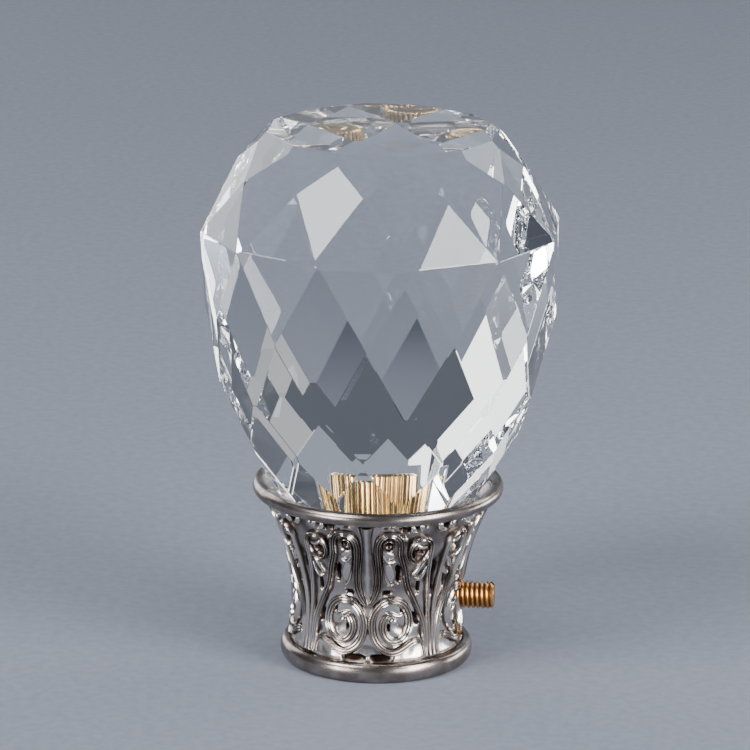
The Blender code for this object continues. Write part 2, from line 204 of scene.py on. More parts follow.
def extrude_ring(
    bm: BMesh, edges: Sequence[BMEdge], ring: Sequence[BMVert]
) -> tuple[list[BMEdge], list[BMVert]]:
    """Extrudes a ring of edges.

    Args:
        bm: the bmesh that holds the ring.
        edges: the ring's edges.
        ring: its corners in order.

    Returns:
        The new ring's edges, and its corners in the same order.
    """
    made = bmesh.ops.extrude_edge_only(bm, edges=list(edges))["geom"]
    place = {vert: i for i, vert in enumerate(ring)}
    moved: dict[int, BMVert] = {}
    for vert in (item for item in made if isinstance(item, BMVert)):
        old = next(e.other_vert(vert) for e in vert.link_edges if e.other_vert(vert) in place)
        moved[place[old]] = vert
    return (
        [item for item in made if isinstance(item, BMEdge)],
        [moved[i] for i in range(len(ring))],
    )


def joined(parts: Iterable[BMesh]) -> BMesh:
    """Puts several shapes into one bmesh and frees them."""
    whole = bmesh.new()
    for part in parts:
        mesh = bpy.data.meshes.new("part")
        part.to_mesh(mesh)
        part.free()
        whole.from_mesh(mesh)
        bpy.data.meshes.remove(mesh)
    return whole


def along_x(x: float, z: float) -> Matrix:
    """The turn and shift that lay a form made along Z along +X, with its origin at x and z."""
    return Matrix.Translation((x, 0, z)) @ Matrix.Rotation(math.pi / 2, 4, "Y")


def direction(azimuth: float, elevation: float) -> Vector:
    """The way outwards from the axis, by degrees to the right of the front and degrees upwards."""
    turn, rise = math.radians(azimuth), math.radians(elevation)
    return Vector((math.sin(turn) * math.cos(rise), -math.cos(turn) * math.cos(rise), math.sin(rise)))


# Finishes


@dataclass(frozen=True)
class Finish:
    """What every finish has: the name of the real material."""

    name: str

    def shader(self, **values) -> tuple[Material, NodeTree, Node]:
        """Starts the material.

        Args:
            **values: what is the same all over, by the socket's name with a low line for each space.

        Returns:
            The new material, its node tree and its Principled shader.
        """
        material = bpy.data.materials.new(self.name)
        material.use_nodes = True
        shader = material.node_tree.nodes["Principled BSDF"]
        for socket, value in values.items():
            shader.inputs[socket.replace("_", " ")].default_value = value
        return material, material.node_tree, shader


@dataclass(frozen=True)
class CutCrystal(Finish):
    """Optical crystal glass, ground and polished facet by facet.

    It is quite clear and colourless, with a high index, so the facets flash between dark and white. A
    polishing wheel leaves them very slightly wavy, which only shows in how straight lines bend in them.
    """

    tint: str = "#FBFCFD"
    index: float = 1.54
    wave_mm: float = 9.0
    wave_height_mm: float = 0.0012

    def material(self) -> Material:
        """Builds the see-through material."""
        material, tree, shader = self.shader(
            Base_Color=linear(self.tint), Roughness=0.0, IOR=self.index, Transmission_Weight=1.0
        )
        place = add_node(tree, "TexCoord")
        wave = add_node(
            tree,
            "TexNoise",
            {"Vector": place.outputs["Object"], "Scale": 1 / (self.wave_mm * MM), "Detail": 1.0},
        )
        bump = add_node(
            tree,
            "Bump",
            {"Height": wave.outputs["Fac"], "Strength": 1.0, "Distance": self.wave_height_mm * MM},
        )
        tree.links.new(bump.outputs["Normal"], shader.inputs["Normal"])
        return material


@dataclass(frozen=True)
class GluedBore(Finish):
    """The bore's wall where clear glue wets it.

    The glue has nearly the crystal's own index, so the wall hardly shows and the brass is seen at once.
    """

    index: float = 1.03

    def material(self) -> Material:
        """Builds the nearly unseen surface."""
        return self.shader(
            Base_Color=linear("#FFFFFF"), Roughness=0.0, IOR=self.index, Transmission_Weight=1.0
        )[0]


@dataclass(frozen=True)
class WornMetalWithPaintedShade(Finish):
    """A metal whose high places are bright and whose hollows are dark.

    The eye gets a bright, slightly uneven skin on the crests, a duller one between them and a brown to
    black tone in the pits. Part of that is real patina where polishing never reached, and part is
    painted shade in grooves and pits. The "hollow" attribute says how deep a place lies, from 0 on a
    crest to 1 in a pit, and on the collar it also carries painted light and shade. The grain is the
    satin left by tumbling or turning.
    """

    bright: str = "#D3CCC6"
    dull: str = "#8B8079"
    film_and_shade: str = "#2E211B"
    smoothest: float = 0.19
    roughest: float = 0.34
    grain_mm: float = 0.12
    grain_height_mm: float = 0.004
    patch_mm: float = 2.5
    patch_range: Point = (0.3, 0.7)
    patchiness: float = 0.12
    bright_until: float = 0.1
    dull_at: float = 0.5
    film_and_shade_from: float = 0.95

    def material(self) -> Material:
        """Builds the metal with its colour, roughness and grain from nodes."""
        material, tree, shader = self.shader(Metallic=1.0)
        place = add_node(tree, "TexCoord")
        hollow = add_node(tree, "Attribute", attribute_name="hollow", attribute_type="GEOMETRY")
        patches = add_node(
            tree,
            "TexNoise",
            {"Vector": place.outputs["Object"], "Scale": 1 / (self.patch_mm * MM), "Detail": 4.0},
        )
        uneven = add_node(
            tree,
            "MapRange",
            {
                "Value": patches.outputs["Fac"],
                "From Min": self.patch_range[0],
                "From Max": self.patch_range[1],
                "To Min": -self.patchiness,
                "To Max": self.patchiness,
            },
        )
        depth = add_node(
            tree, "Math", {0: hollow.outputs["Fac"], 1: uneven.outputs["Result"]}, operation="ADD"
        )
        # Painted shade: the colour runs from bright through dull to the darkest stop as the hollow value
        # grows, so grooves and pits are painted dark, partly for patina and partly for shade.
        colour = add_node(tree, "ValToRGB", {"Fac": depth.outputs["Value"]})
        ramp = colour.color_ramp
        ramp.elements[0].position = self.bright_until
        ramp.elements[0].color = linear(self.bright)
        ramp.elements[1].position = self.film_and_shade_from
        ramp.elements[1].color = linear(self.film_and_shade)
        ramp.elements.new(self.dull_at).color = linear(self.dull)
        rough = add_node(
            tree,
            "MapRange",
            {"Value": depth.outputs["Value"], "To Min": self.smoothest, "To Max": self.roughest},
        )
        grain = add_node(
            tree,
            "TexNoise",
            {"Vector": place.outputs["Object"], "Scale": 1 / (self.grain_mm * MM), "Detail": 3.0},
        )
        bump = add_node(
            tree,
            "Bump",
            {"Height": grain.outputs["Fac"], "Strength": 1.0, "Distance": self.grain_height_mm * MM},
        )
        tree.links.new(colour.outputs["Color"], shader.inputs["Base Color"])
        tree.links.new(rough.outputs["Result"], shader.inputs["Roughness"])
        tree.links.new(bump.outputs["Normal"], shader.inputs["Normal"])
        return material


@dataclass(frozen=True)
class FloorPaper(Finish):
    """Matt seamless paper in a pale grey blue, with the faint fleck of its fibres."""

    colour: str = "#7E8492"
    fleck: str = "#777D8B"
    fleck_mm: float = 1.5
    fleck_range: Point = (0.35, 0.65)
    roughness: float = 0.9

    def material(self) -> Material:
        """Builds the matt paper."""
        material, tree, shader = self.shader(Roughness=self.roughness)
        place = add_node(tree, "TexCoord")
        fibres = add_node(
            tree,
            "TexNoise",
            {"Vector": place.outputs["Object"], "Scale": 1 / (self.fleck_mm * MM), "Detail": 5.0},
        )
        colour = add_node(tree, "ValToRGB", {"Fac": fibres.outputs["Fac"]})
        stops = zip(colour.color_ramp.elements, self.fleck_range, (self.fleck, self.colour))
        for stop, position, code in stops:
            stop.position = position
            stop.color = linear(code)
        tree.links.new(colour.outputs["Color"], shader.inputs["Base Color"])
        return material


def dress(obj: Object, node: str, slot: str, *finishes: Material) -> None:
    """Gives a piece its finishes and ties it to the frame.

    Args:
        obj: the finished piece.
        node: the solid that it stands for.
        slot: the name of the record's material slot, which is not used.
        *finishes: its materials, in the order of its faces' material indices.
    """
    for finish in finishes:
        obj.data.materials.append(finish)
    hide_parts(node)
    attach(obj, "root")
    LOG.info("%s: %d faces, stands for %s", obj.name, len(obj.data.polygons), node)


# The crystal


@dataclass
class Crystal:
    """The cut bulb, which keeps its solid's facets and gets a narrow polished arris along every edge."""

    arris: float = 0.16 * MM
    merge: float = 0.001 * MM
    flat: float = math.radians(0.3)
    sharp: float = math.radians(2.5)
    bore_reach: float = 5.3 * MM
    glass: CutCrystal = CutCrystal("crystal glass, polished")
    bore: GluedBore = GluedBore("crystal glass, wetted by clear glue")

    def outer_edges(self, bm: BMesh) -> list[tuple[Vector, Vector, float]]:
        """Finds the edges between facets.

        Args:
            bm: the crystal with its facets whole.

        Returns:
            Each edge's middle, the normal half-way between its facets', and the angle between them.
        """
        found = []
        for edge in bm.edges:
            if len(edge.link_faces) != 2 or self.in_bore(edge.verts):
                continue
            first, second = (face.normal for face in edge.link_faces)
            angle = first.angle(second)
            if angle > self.sharp and edge.is_convex:
                middle = (edge.verts[0].co + edge.verts[1].co) / 2
                found.append((middle, (first + second).normalized(), angle))
        return found

    def in_bore(self, verts: Iterable[BMVert]) -> bool:
        """Whether all these corners lie on the bore's wall or its end."""
        return all(math.hypot(vert.co.x, vert.co.y) < self.bore_reach for vert in verts)

    def shape(self) -> BMesh:
        """Builds the bulb: the solid's facets, with each edge ground off by one more plane."""
        bm = bmesh.new()
        bm.from_mesh(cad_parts["crystal"].data)
        bmesh.ops.remove_doubles(bm, verts=bm.verts, dist=self.merge)
        bmesh.ops.dissolve_limit(bm, angle_limit=self.flat, verts=bm.verts, edges=bm.edges)
        for middle, normal, angle in self.outer_edges(bm):
            depth = self.arris / 2 * math.tan(angle / 2)
            cut = bmesh.ops.bisect_plane(
                bm,
                geom=everything(bm),
                dist=self.merge / 10,
                plane_co=middle - normal * depth,
                plane_no=normal,
                clear_outer=True,
            )
            rim = [item for item in cut["geom_cut"] if isinstance(item, BMEdge)]
            if rim:
                bmesh.ops.contextual_create(bm, geom=rim)
        bmesh.ops.recalc_face_normals(bm, faces=bm.faces)
        for face in bm.faces:
            face.smooth = False
            face.material_index = int(self.in_bore(face.verts))
        return bm

    def build(self) -> None:
        """Builds and dresses the crystal."""
        bulb = to_object("polished_crystal", self.shape())
        dress(bulb, "crystal", "cut_crystal", self.glass.material(), self.bore.material())


# The insert


@dataclass
class Insert:
    """The knurled insert: a head with straight teeth and chamfered ends, and a plain tail."""

    radius: float = 4.6 * MM
    tooth_depth: float = 0.3 * MM
    teeth: int = 36
    points_per_tooth: int = 8
    chamfer: float = 0.45 * MM
    tail_radius: float = 3.0 * MM
    dimple_radius: float = 2.1 * MM
    dimple_floor: float = 1.26 * MM
    dimple_depth: float = 0.8 * MM
    valley_shade: float = 0.75
    sharp: float = math.radians(35)
    brass: WornMetalWithPaintedShade = WornMetalWithPaintedShade(
        "brass, turned and knurled",
        bright="#EBCF9A",
        dull="#C79F62",
        film_and_shade="#6B4A22",
        smoothest=0.16,
        roughest=0.34,
        grain_mm=0.2,
    )

    def levels(self) -> list[tuple[float, float, float]]:
        """The rings that the insert is drawn up through.

        Returns:
            For each ring its height, its radius, and how much of a tooth's depth it shows, from 0 to 1.
        """
        low, high = (corner.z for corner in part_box("insert"))
        web_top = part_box("crystal")[0].z
        inner = self.radius - self.chamfer - self.tooth_depth
        return [
            (low, self.tail_radius, 0.0),
            (web_top, self.tail_radius, 0.0),
            (web_top, inner, 0.0),
            (web_top + self.chamfer, self.radius, 1.0),
            (high - self.chamfer, self.radius, 1.0),
            (high, inner, 0.0),
            (high, self.dimple_radius, 0.0),
            (high - self.dimple_depth, self.dimple_floor, 0.0),
        ]

    def shape(self) -> BMesh:
        """Builds the insert by extruding a ring of points from level to level."""
        bm = bmesh.new()
        hollow = bm.verts.layers.float.new("hollow")
        count = self.teeth * self.points_per_tooth
        ring = bmesh.ops.create_circle(bm, radius=self.tail_radius, segments=count)["verts"]
        around = [math.atan2(vert.co.y, vert.co.x) for vert in ring]
        edges = list(bm.edges)
        bmesh.ops.contextual_create(bm, geom=edges)
        for i, (height, radius, toothed) in enumerate(self.levels()):
            if i:
                edges, ring = extrude_ring(bm, edges, ring)
            for vert, angle in zip(ring, around):
                valley = toothed * (0.5 - 0.5 * math.cos(self.teeth * angle))
                reach = radius - self.tooth_depth * valley
                vert.co = (reach * math.cos(angle), reach * math.sin(angle), height)
                # Painted shade: the knurl's valleys are coloured darker than its crests.
                vert[hollow] = self.valley_shade * valley
        bmesh.ops.contextual_create(bm, geom=edges)
        bmesh.ops.recalc_face_normals(bm, faces=bm.faces)
        return bm

    def build(self) -> None:
        """Builds and dresses the insert."""
        insert = to_object("knurled_insert", self.shape(), sharp=self.sharp)
        dress(insert, "insert", "insert_brass", self.brass.material())


# The grub screw


@dataclass
class GrubScrew:
    """The M4 grub screw in the collar's side, with a helical thread and a driver's slot."""

    radius: float = 2.0 * MM
    pitch: float = 0.7 * MM
    thread_depth: float = 0.35 * MM
    fullness: float = 0.65
    points_per_turn: int = 8
    root_shade: float = 0.6
    sides: int = 40
    spare_turns: int = 2
    merge: float = 0.0007 * MM
    sharp: float = math.radians(40)
    slot_width: float = 0.7 * MM
    slot_depth: float = 1.1 * MM
    end_chamfer: float = 0.4 * MM
    brass: WornMetalWithPaintedShade = WornMetalWithPaintedShade(
        "brass, thread cut",
        bright="#CFA06A",
        dull="#A97840",
        film_and_shade="#4E3018",
        smoothest=0.24,
        roughest=0.42,
        grain_mm=0.15,
    )

    def ridge(self) -> list[tuple[float, float, float]]:
        """One turn's section of the thread, from root to root, with a rounded crest.

        Returns:
            For each of its points the radius, the height and the hollow value.
        """
        points = []
        for i in range(self.points_per_turn + 1):
            share = i / self.points_per_turn
            crown = (0.5 - 0.5 * math.cos(2 * math.pi * share)) ** self.fullness
            radius = self.radius - self.thread_depth * (1 - crown)
            # Painted shade: the thread's roots are coloured darker than its crests.
            points.append((radius, share * self.pitch, self.root_shade * (1 - crown)))
        return points

    def thread(self, length: float) -> BMesh:
        """Cuts the thread as one ridge wound on itself along Z.

        Args:
            length: how long the screw is. The wound ridge has turns to spare at both ends.

        Returns:
            The thread's skin, open at its ends.
        """
        bm = bmesh.new()
        hollow = bm.verts.layers.float.new("hollow")
        verts = []
        for radius, height, depth in self.ridge():
            vert = bm.verts.new((radius, 0, height - self.spare_turns * self.pitch))
            vert[hollow] = depth
            verts.append(vert)
        edges = [bm.edges.new(pair) for pair in zip(verts, verts[1:])]
        turns = math.ceil(length / self.pitch) + 2 * self.spare_turns
        bmesh.ops.spin(
            bm,
            geom=verts + edges,
            cent=(0, 0, 0),
            axis=(0, 0, 1),
            dvec=(0, 0, self.pitch / self.sides),
            angle=2 * math.pi * turns,
            steps=self.sides * turns,
        )
        bmesh.ops.remove_doubles(bm, verts=bm.verts, dist=self.merge)
        return bm

    def shape(self, length: float) -> BMesh:
        """Cuts the wound thread to length, closes its ends and slots the outer one.

        Args:
            length: the screw's length.

        Returns:
            The screw along Z, with its inner end at the origin.
        """
        bm = self.thread(length)
        for vert in bm.verts:
            reach = math.hypot(vert.co.x, vert.co.y)
            limit = self.radius - max(0.0, min(vert.co.z, length) - length + self.end_chamfer)
            if reach > limit:
                vert.co.xy *= limit / reach
        for height, outward in ((0.0, -1.0), (length, 1.0)):
            bmesh.ops.bisect_plane(
                bm,
                geom=everything(bm),
                dist=self.merge,
                plane_co=(0, 0, height),
                plane_no=(0, 0, outward),
                clear_outer=True,
            )
        bmesh.ops.holes_fill(bm, edges=[edge for edge in bm.edges if edge.is_boundary], sides=0)
        bmesh.ops.recalc_face_normals(bm, faces=bm.faces)
        slot = bmesh.new()
        size = Matrix.Diagonal((3 * self.radius, self.slot_width, 2 * self.slot_depth, 1))
        bmesh.ops.create_cube(slot, size=1, matrix=Matrix.Translation((0, 0, length)) @ size)
        cutter = to_object("slot_cutter", slot)
        bm = cut_away(bm, cutter)
        bpy.data.objects.remove(cutter, do_unlink=True)
        return bm

    def build(self) -> None:
        """Builds the screw, lays it along +X in its place and dresses it."""
        low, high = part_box("grub_screw")
        bm = self.shape(high.x - low.x)
        bmesh.ops.transform(bm, verts=bm.verts, matrix=along_x(low.x, (low.z + high.z) / 2))
        screw = to_object("brass_grub_screw", bm, sharp=self.sharp)
        dress(screw, "grub_screw", "screw_brass", self.brass.material())


# The collar


class Scroll(Enum):
    """The reeded bands of half a repeat."""

    HAIRPIN = "hairpin"
    OVAL = "oval"
    SIDE = "side"
    DROP = "drop"


@dataclass(frozen=True)
class Pit:
    """A hollow in the relief's ground, coloured dark with patina and with painted shade.

    Its place and half sizes are in degrees from the leaf's middle and in millimetres above the foot's
    underside. Lean is how many degrees its top lies further from the leaf than its bottom.
    """

    degrees: float
    height: float
    half_degrees: float
    half_height: float
    depth: float = 0.55
    lean: float = 0.0

    def fall(self, degrees: float, height: float) -> float:
        """How deep a place lies in this pit, from 0 outside to 1 at its bottom."""
        squareness, steepness, reach = 3, 2.6, 1.1
        rise = abs(height - self.height) / self.half_height
        lean = self.lean * (height - self.height) / self.half_height / 2
        across = abs(degrees - self.degrees - lean) / self.half_degrees
        return eased(steepness * (reach - (rise**squareness + across**squareness) ** (1 / squareness)))


@dataclass(frozen=True)
class Lobe:
    """A petal, bud or boss of the relief: a crowned form that swells and closes along a curved line.

    Its points are in degrees from the leaf's middle and millimetres above the foot's underside.
    """

    points: tuple[Point, ...]
    half_width: float
    rise: float


@dataclass(frozen=True)
class Curl:
    """An oval spiral that closes in slowly at first.

    Its middle and half axes are in degrees and in shares of the ornament's field, and its start and turn
    are angles in degrees.
    """

    centre: Point
    half: Point
    end: Point
    start: float
    turn: float
    steps: int
    tightening: float = 1.4

    def points(self) -> list[Point]:
        """Its points from the outer end to the inner one, as degrees and shares."""
        points = []
        for i in range(self.steps + 1):
            share = i / self.steps
            angle = math.radians(self.start + self.turn * share)
            wide, tall = (mix(*axes, share**self.tightening) for axes in zip(self.half, self.end))
            degrees = self.centre[0] + wide * math.cos(angle)
            points.append((degrees, self.centre[1] + tall * math.sin(angle)))
        return points


@dataclass(frozen=True)
class Volute:
    """A scroll's line: an arm, as a Bezier curve, that leads into a curl."""

    ends: tuple[Point, Point]
    handles: tuple[Point, Point]
    steps: int
    curl: Curl

    def points(self) -> list[Point]:
        """Its points along the arm and then the curl."""
        return bezier(self.ends, self.handles, self.steps) + self.curl.points()


# Degrees from the leaf's middle, and shares of the ornament's field from the foot's groove to the rim
VOLUTES = {
    Scroll.OVAL: Volute(
        ((37.2, 0.100), (17.2, 0.047)),
        ((31.5, 0.155), (25.0, 0.047)),
        16,
        Curl((17.2, 0.243), (15.4, 0.198), (4.4, 0.062), -90, -540, 100),
    ),
    Scroll.SIDE: Volute(
        ((43.4, 0.0), (39.0, 0.778)),
        ((43.4, 0.32), (39.4, 0.57)),
        40,
        Curl((31.7, 0.778), (7.3, 0.105), (5.6, 0.082), 0, 360, 50),
    ),
    Scroll.DROP: Volute(
        ((15.4, 0.520), (9.1, 0.830)),
        ((11.5, 0.56), (8.6, 0.7)),
        18,
        Curl((12.4, 0.830), (3.3, 0.050), (2.4, 0.040), 180, -330, 28),
    ),
}


@dataclass(frozen=True)
class Band:
    """One reeded band: its line, its reeds, and its height and width as shares of the usual ones."""

    scroll: Scroll
    reeds: int
    rise: float
    spread: float = 1.0


@dataclass
class Collar:
    """The cast and plated collar, with its rod socket, web, cup, rim, foot and scroll relief."""

    repeats: int = 4
    bore_radius: float = 10.2 * MM
    mouth_chamfer: float = 0.4 * MM
    socket_depth: float = 22.4 * MM
    web: float = 2.2 * MM
    tail_hole: float = 3.3 * MM
    cup_floor_radius: float = 14.7 * MM
    cup_mouth_radius: float = 15.85 * MM
    foot_height: float = 2.9 * MM
    foot_inner: float = 12.7 * MM
    foot_width: float = 1.15 * MM
    foot_fullness: float = 0.7
    groove: float = 0.35 * MM
    rim_inner: float = 17.0 * MM
    rim_width: float = 1.0 * MM
    rim_height: float = 2.0 * MM
    rim_drop: float = 0.45 * MM
    rim_fullness: float = 0.9
    waist_radius: float = 11.75 * MM
    waist_height: float = 8.8 * MM
    heel_flare: float = 0.4 * MM
    heel_height: float = 11.0 * MM
    cove: float = 0.3 * MM
    cove_height: float = 2.4 * MM
    neck_flare: float = 4.2 * MM
    relief: float = 0.65 * MM
    leaf_height: float = 0.8 * MM
    uneven: float = 0.18 * MM
    uneven_size: float = 1.7 * MM
    rough_zone: float = 1.9 * MM
    rough_depth: float = 0.55 * MM
    # Under the rim: painted light on the ground's lumps and painted shade in its hollows, besides polish
    # and dirt.
    rough_polish_and_light: float = 0.3
    dirt_and_shade: Point = (0.5, 1.8)
    root: float = 0.3 * MM
    # Painted shade: how dark the grooves between the reeds and the ground between the scrolls are
    # coloured, partly for patina.
    groove_shade: float = 0.74
    ground_shade: float = 0.4
    # Painted shade on the rim, foot and socket, coloured darker to stand for the dark surroundings they
    # mirror; painted light in the cup, coloured light so that the crystal above shows bright.
    rim_shade: float = 0.47
    cup_painted_light: float = 0.08
    # Painted light: below these heights the relief is coloured brighter, except in its grooves.
    painted_light_factor: float = 0.12
    painted_light_heights: Point = (10.5 * MM, 15.0 * MM)
    painted_light_hollows: Point = (0.5, 0.8)
    reed_pitch: float = 0.36 * MM
    reed_step: float = 0.34 * MM
    screw_hole: float = 2.3 * MM
    screw_hole_sides: int = 40
    sharp: float = math.radians(50)
    columns: int = 43
    rows: int = 105
    bead_points: int = 14
    merge: float = 0.001 * MM
    plate: WornMetalWithPaintedShade = WornMetalWithPaintedShade("zinc, cast and nickel plated")
    leaf_outline: tuple[Point, ...] = (
        (0.392, 0.5), (0.430, 2.6), (0.500, 4.8), (0.574, 5.5), (0.644, 5.0),
        (0.720, 4.0), (0.800, 3.1), (0.900, 3.2), (0.990, 4.6),
    )
    bands: tuple[Band, ...] = (
        Band(Scroll.HAIRPIN, 3, 1.0),
        Band(Scroll.OVAL, 3, 0.92, 1.15),
        Band(Scroll.SIDE, 2, 0.95),
        Band(Scroll.DROP, 1, 0.8),
    )
    hairpin_up: tuple[Point, ...] = (
        (0.9, 0.380), (4.2, 0.424), (7.2, 0.520), (6.9, 0.644), (5.9, 0.760),
    )
    hairpin_down: tuple[Point, ...] = (
        (20.3, 0.760), (23.3, 0.653), (26.7, 0.513), (33.3, 0.377), (38.6, 0.241),
        (40.0, 0.100), (40.1, 0.000),
    )
    pits: tuple[Pit, ...] = (
        Pit(19.4, 16.2, 1.4, 1.5, depth=0.7, lean=-1.4),
        Pit(27.0, 19.6, 1.4, 1.6, depth=0.7, lean=-2.2),
        Pit(45.0, 14.9, 2.1, 2.9, depth=0.8),
        # Painted shadow: this long shallow slit along the field's lower edge is coloured dark for the
        # shadow in the gap above the foot.
        Pit(9.0, 3.55, 8.5, 0.4, depth=0.5),
        Pit(12.7, 13.2, 3.2, 0.4),
        Pit(34.0, 13.8, 1.5, 1.1),
        Pit(33.5, 9.0, 1.7, 1.0, lean=-3.5),
        Pit(11.6, 9.0, 1.6, 0.6),
        Pit(13.9, 7.9, 1.5, 0.5),
        Pit(23.3, 10.4, 1.1, 0.4, depth=0.3),
        Pit(10.5, 24.2, 2.6, 0.45),
        Pit(19.4, 23.9, 1.6, 0.8),
        Pit(23.3, 23.6, 1.2, 0.7),
        Pit(27.3, 23.8, 1.4, 0.8),
        Pit(31.8, 24.1, 2.0, 0.5),
        Pit(44.0, 23.2, 1.6, 0.8),
        Pit(12.4, 20.95, 1.5, 0.45),
        Pit(32.0, 19.5, 3.4, 0.5),
    )
    lobes: tuple[Lobe, ...] = (
        Lobe(((9.6, 19.9), (13.0, 19.2), (16.6, 19.2)), 0.6, 0.26),
        Lobe(((8.4, 19.8), (12.4, 18.3), (17.2, 18.4)), 0.26, 0.52),
        Lobe(((12.6, 17.8), (13.6, 16.2), (15.0, 14.9)), 0.78, 0.24),
        Lobe(((9.6, 17.9), (11.4, 15.7), (13.8, 14.6), (17.0, 14.5)), 0.24, 0.52),
        Lobe(((28.5, 20.9), (32.4, 20.4), (36.6, 20.4)), 0.36, 0.55),
        Lobe(((38.5, 18.6), (34.0, 17.3), (31.0, 16.3), (28.4, 15.7)), 0.36, 0.55),
        Lobe(((38.8, 17.2), (36.6, 15.9), (33.5, 15.1), (30.8, 15.3)), 0.34, 0.5),
        Lobe(((20.4, 22.5), (22.6, 21.7)), 0.36, 0.55),
        Lobe(((24.2, 24.3), (25.6, 22.9)), 0.42, 0.55),
        Lobe(((29.0, 24.4), (29.9, 23.2)), 0.42, 0.5),
        Lobe(((40.0, 24.2), (42.2, 22.8)), 0.46, 0.5),
        Lobe(((11.5, 10.2), (16.0, 10.0), (20.5, 9.6), (25.0, 9.9)), 0.32, 0.55),
        Lobe(((14.6, 8.7), (17.8, 8.9), (21.2, 8.2)), 0.4, 0.5),
        Lobe(((24.5, 17.6), (26.6, 14.8)), 0.3, 0.3),
    )

    @property
    def field_bottom(self) -> float:
        """Where the ornament's field starts, above the foot's groove."""
        return self.foot_height + self.groove

    @property
    def field_top(self) -> float:
        """Where the ornament's field ends, under the rim."""
        return self.socket_depth + self.web

    def ground_radius(self, height: float) -> float:
        """The radius of the relief's ground, a waisted curve that flares to the neck and to the heel."""
        neck = max(0.0, (height - self.waist_height) / (self.field_top - self.waist_height))
        heel = max(0.0, (self.heel_height - height) / (self.heel_height - self.field_bottom))
        cove = max(0.0, 1 - (height - self.field_bottom) / self.cove_height)
        flare = self.neck_flare * neck**2 + self.heel_flare * heel**2 + self.cove * cove**2
        return self.waist_radius + flare

    def ground_normal(self, degrees: float, height: float) -> Vector:
        """The outward normal of the relief's ground."""
        step = self.relief / 10
        slope = (self.ground_radius(height + step) - self.ground_radius(height - step)) / (2 * step)
        angle = math.radians(degrees)
        return Vector((math.cos(angle), math.sin(angle), -slope)).normalized()

    def on_ground(self, degrees: float, share: float, lift: float = 0.0) -> Vector:
        """A point on the relief's ground.

        Args:
            degrees: its angle from the leaf's middle.
            share: its height as a share of the ornament's field.
            lift: how far it stands off the ground, along the normal.

        Returns:
            The point.
        """
        height = mix(self.field_bottom, self.field_top, share)
        radius = self.ground_radius(height)
        angle = math.radians(degrees)
        out = Vector((math.cos(angle), math.sin(angle), 0))
        return out * radius + Vector((0, 0, height)) + self.ground_normal(degrees, height) * lift

    def share(self, height_mm: float) -> float:
        """A height in millimetres as a share of the ornament's field."""
        return (height_mm * MM - self.field_bottom) / (self.field_top - self.field_bottom)

    def half_bead(self, inner: float, low: float, high: float, width: float, full: float) -> list[Point]:
        """A half-round moulding.

        Args:
            inner: the radius that it starts and ends at.
            low: its lower end's height.
            high: its upper end's height.
            width: how far it stands out.
            full: 1 for an ellipse, and less for a fuller, squarer swell.

        Returns:
            Its points from low to high, as radius and height.
        """
        middle = (low + high) / 2
        reach = (high - low) / 2
        points = []
        for i in range(self.bead_points + 1):
            turn = -math.pi / 2 + math.pi * i / self.bead_points
            swell = max(0.0, math.cos(turn)) ** full
            points.append((inner + width * swell, middle + reach * math.sin(turn)))
        return points

    def section(self) -> list[Point]:
        """The collar's section as a closed outline of radius and height, with the field as fine rows."""
        heel = self.ground_radius(self.field_bottom)
        rim_top = self.field_top + self.rim_height
        shares = [i / self.rows for i in range(self.rows + 1)]
        heights = [mix(self.field_bottom, self.field_top, share) for share in shares]
        return [
            (self.bore_radius, self.mouth_chamfer),
            (self.bore_radius + self.mouth_chamfer, 0.0),
            *self.half_bead(
                self.foot_inner, 0.0, self.foot_height, self.foot_width, self.foot_fullness
            ),
            (heel, self.foot_height - self.groove),
            *[(self.ground_radius(height), height) for height in heights],
            *self.half_bead(
                self.rim_inner, self.field_top, rim_top, self.rim_width, self.rim_fullness
            ),
            (self.cup_mouth_radius, rim_top - self.rim_drop),
            (self.cup_floor_radius, self.field_top),
            (self.tail_hole, self.field_top),
            (self.tail_hole, self.socket_depth),
            (self.bore_radius, self.socket_depth),
        ]

    def shell(self) -> BMesh:
        """Spins half a repeat of the section, sinks its pits, and repeats it all round."""
        bm = bmesh.new()
        hollow = bm.verts.layers.float.new("hollow")
        verts = [bm.verts.new((radius, 0, height)) for radius, height in self.section()]
        edges = [bm.edges.new((verts[i - 1], verts[i])) for i in range(len(verts))]
        half = math.pi / self.repeats
        bmesh.ops.spin(
            bm, geom=verts + edges, cent=(0, 0, 0), axis=(0, 0, 1), angle=half, steps=self.columns
        )
        for vert in bm.verts:
            # Painted light in the cup and painted shade on the rest of the shell.
            vert[hollow] = self.cup_painted_light if self.is_cup(vert.co) else self.rim_shade
            if self.is_field(vert.co):
                self.sink(vert, hollow)
        self.repeat(bm)
        bmesh.ops.remove_doubles(bm, verts=bm.verts, dist=self.merge)
        bmesh.ops.recalc_face_normals(bm, faces=bm.faces)
        return bm

    def is_cup(self, place: Vector) -> bool:
        """Whether a corner of the shell lies in the cup, which gets painted light: it is coloured light
        so that the crystal above it shows bright.
        """
        inside = math.hypot(place.x, place.y) < self.cup_mouth_radius + self.merge
        return inside and place.z > self.field_top - self.merge

    def is_field(self, place: Vector) -> bool:
        """Whether a corner of the shell lies on the ornament's ground."""
        if not self.field_bottom - self.merge < place.z < self.field_top + self.merge:
            return False
        return abs(math.hypot(place.x, place.y) - self.ground_radius(place.z)) < self.merge

